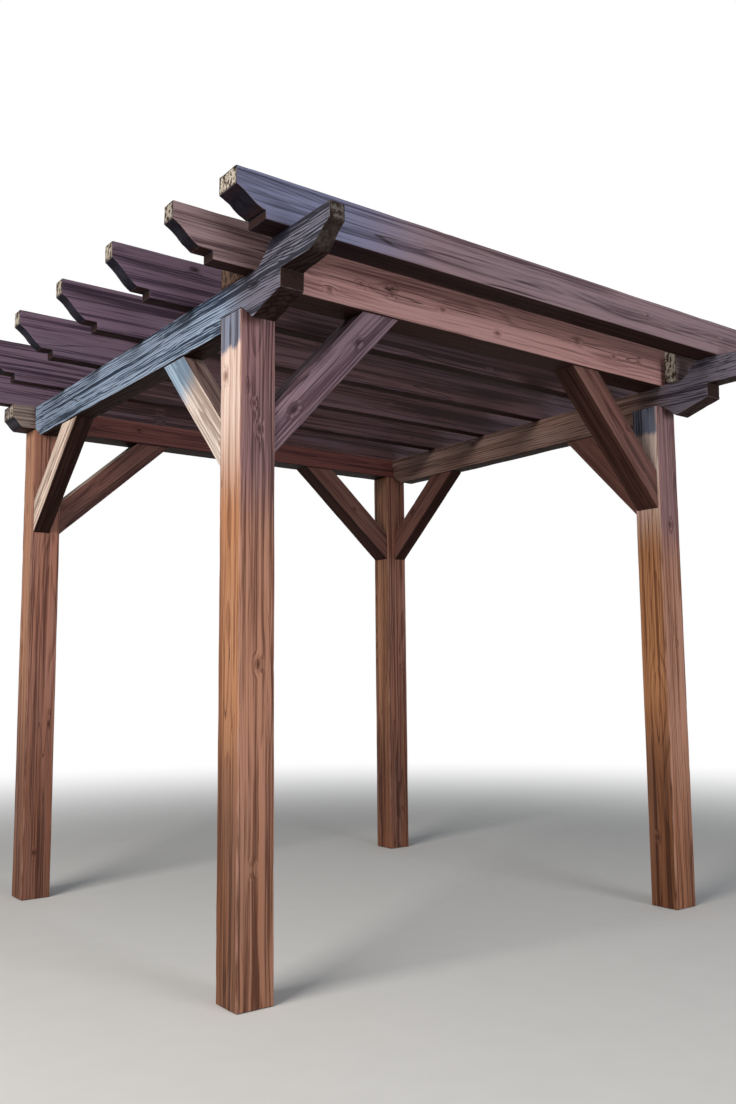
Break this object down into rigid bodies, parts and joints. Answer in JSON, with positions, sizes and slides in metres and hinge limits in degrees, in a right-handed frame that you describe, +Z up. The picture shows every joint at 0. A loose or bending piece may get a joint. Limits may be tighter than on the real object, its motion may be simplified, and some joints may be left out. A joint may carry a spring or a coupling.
{
  "type": "wooden pergola",
  "caption": "Free-standing square timber pergola: corner posts, knee braces and beams carry a row of parallel rafters with shaped tails on both sides.",
  "frame": {"origin": "on the floor under the middle of the pergola's overall length and width", "axes": "+X to the right along the front beam and the rafters, +Y from the front with its two long beam tails to the back, +Z up"},
  "size_m": [3.4, 2.925, 2.81],
  "materials": {
    "post_timber": "reddish-brown stain on planed softwood, weathered grey at the head",
    "weathered_timber": "stained softwood weathered silver-grey with raised grain",
    "beam_timber": "reddish-brown stain, satin, long open grain",
    "brace_timber": "reddish-brown stain, greyer on the upper faces",
    "rafter_timber": "dark walnut stain on the sides, pale checked end grain"
  },
  "bodies": {
    "root": {"front_left_post": "post_timber", "back_left_post": "post_timber", "left_side_beam": "weathered_timber", "front_left_cross_brace": "brace_timber", "back_left_cross_brace": "brace_timber", "front_left_side_brace": "brace_timber", "back_left_side_brace": "brace_timber", "front_right_post": "post_timber", "back_right_post": "post_timber", "right_side_beam": "weathered_timber", "front_right_cross_brace": "brace_timber", "back_right_cross_brace": "brace_timber", "front_right_side_brace": "brace_timber", "back_right_side_brace": "brace_timber", "front_beam": "beam_timber", "back_beam": "beam_timber", "rafter_1": "rafter_timber", "rafter_2": "rafter_timber", "rafter_3": "rafter_timber", "rafter_4": "rafter_timber", "rafter_5": "rafter_timber", "rafter_6": "rafter_timber", "left_short_tail": "rafter_timber", "right_short_tail": "rafter_timber"}
  },
  "joints": []
}
